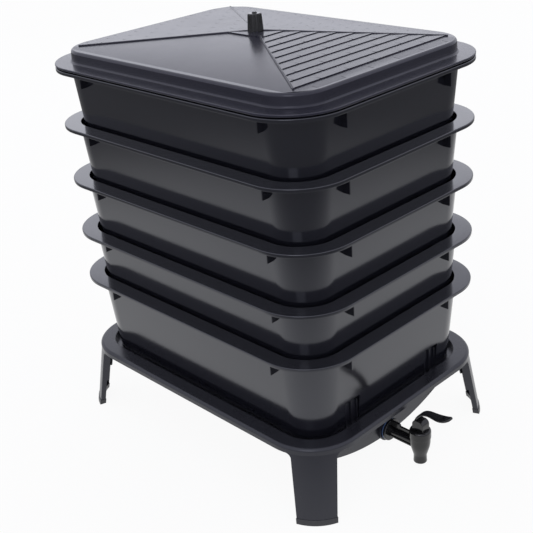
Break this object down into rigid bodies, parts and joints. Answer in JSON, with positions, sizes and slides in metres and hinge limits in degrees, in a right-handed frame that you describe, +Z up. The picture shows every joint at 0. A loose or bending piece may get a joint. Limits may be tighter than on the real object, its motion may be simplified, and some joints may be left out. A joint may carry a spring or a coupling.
{
  "type": "wormery",
  "caption": "Stacking wormery: slotted composting trays with wide rims on a legged stand with a sloping sump and lever drain tap, under a slate-patterned hip lid with a knob.",
  "frame": {"origin": "on the floor, at the middle of the whole outline seen from above, tap lever included", "axes": "+Z up, +Y along the long side away from the tap, +X along the short side to the right as seen from the tap's end"},
  "size_m": [0.4464, 0.6537, 0.6912],
  "materials": {
    "body_plastic": "semi-gloss moulded plastic, near black with a blue-grey cast",
    "lid_plastic": "satin moulded plastic, near black",
    "fitting_plastic": "glossy black moulded plastic",
    "foot_rubber": "matt rubber, near black",
    "seal_rubber": "matt black rubber",
    "washer_blue": "satin blue-grey sealing washer",
    "spring_steel": "plain spring steel",
    "pin_steel": "plain steel pin"
  },
  "bodies": {
    "stand": {"stand": "body_plastic", "leg_front_left": "body_plastic", "leg_front_right": "body_plastic", "leg_rear_left": "body_plastic", "leg_rear_right": "body_plastic", "foot_front_left": "foot_rubber", "foot_front_right": "foot_rubber", "foot_rear_left": "foot_rubber", "foot_rear_right": "foot_rubber", "tap_washer_outer": "washer_blue", "tap_washer_inner": "seal_rubber", "tap_nut": "fitting_plastic", "tap_body": "fitting_plastic", "tap_bonnet": "fitting_plastic", "tap_spring": "spring_steel"},
    "tray_1": {"tray_1": "body_plastic"},
    "tray_2": {"tray_2": "body_plastic"},
    "tray_3": {"tray_3": "body_plastic"},
    "tray_4": {"tray_4": "body_plastic"},
    "tray_5": {"tray_5": "body_plastic"},
    "lid": {"lid": "lid_plastic", "lid_knob": "fitting_plastic", "lid_washer": "seal_rubber", "lid_nut": "fitting_plastic"},
    "tap_valve": {"tap_stem": "fitting_plastic", "tap_seat_cup": "seal_rubber", "tap_lever_pin": "pin_steel"},
    "tap_lever": {"tap_lever": "fitting_plastic"}
  },
  "joints": [
    {"name": "tray_1_lift", "type": "slide", "parent": "stand", "child": "tray_1", "axis": [0, 0, 1], "range_m": [0, 0.15]},
    {"name": "tray_2_lift", "type": "slide", "parent": "tray_1", "child": "tray_2", "axis": [0, 0, 1], "range_m": [0, 0.15]},
    {"name": "tray_3_lift", "type": "slide", "parent": "tray_2", "child": "tray_3", "axis": [0, 0, 1], "range_m": [0, 0.15]},
    {"name": "tray_4_lift", "type": "slide", "parent": "tray_3", "child": "tray_4", "axis": [0, 0, 1], "range_m": [0, 0.15]},
    {"name": "tray_5_lift", "type": "slide", "parent": "tray_4", "child": "tray_5", "axis": [0, 0, 1], "range_m": [0, 0.15]},
    {"name": "lid_lift", "type": "slide", "parent": "tray_5", "child": "lid", "axis": [0, 0, 1], "range_m": [0, 0.15]},
    {"name": "tap_valve_lift", "type": "slide", "parent": "stand", "child": "tap_valve", "axis": [0, 0, 1], "range_m": [0, 0.0031], "stiffness_N_per_m": 1000, "springref_m": -0.002, "deforming": ["tap_spring"]},
    {"name": "tap_lever_tip", "type": "hinge", "parent": "tap_valve", "child": "tap_lever", "pos_m": [0, -0.2685, 0.082], "axis": [1, 0, 0], "range_deg": [0, 22]}
  ],
  "couplings": [
    {"joint": "tap_lever_tip", "follows": "tap_valve_lift", "rad_per_m": 123.5}
  ]
}
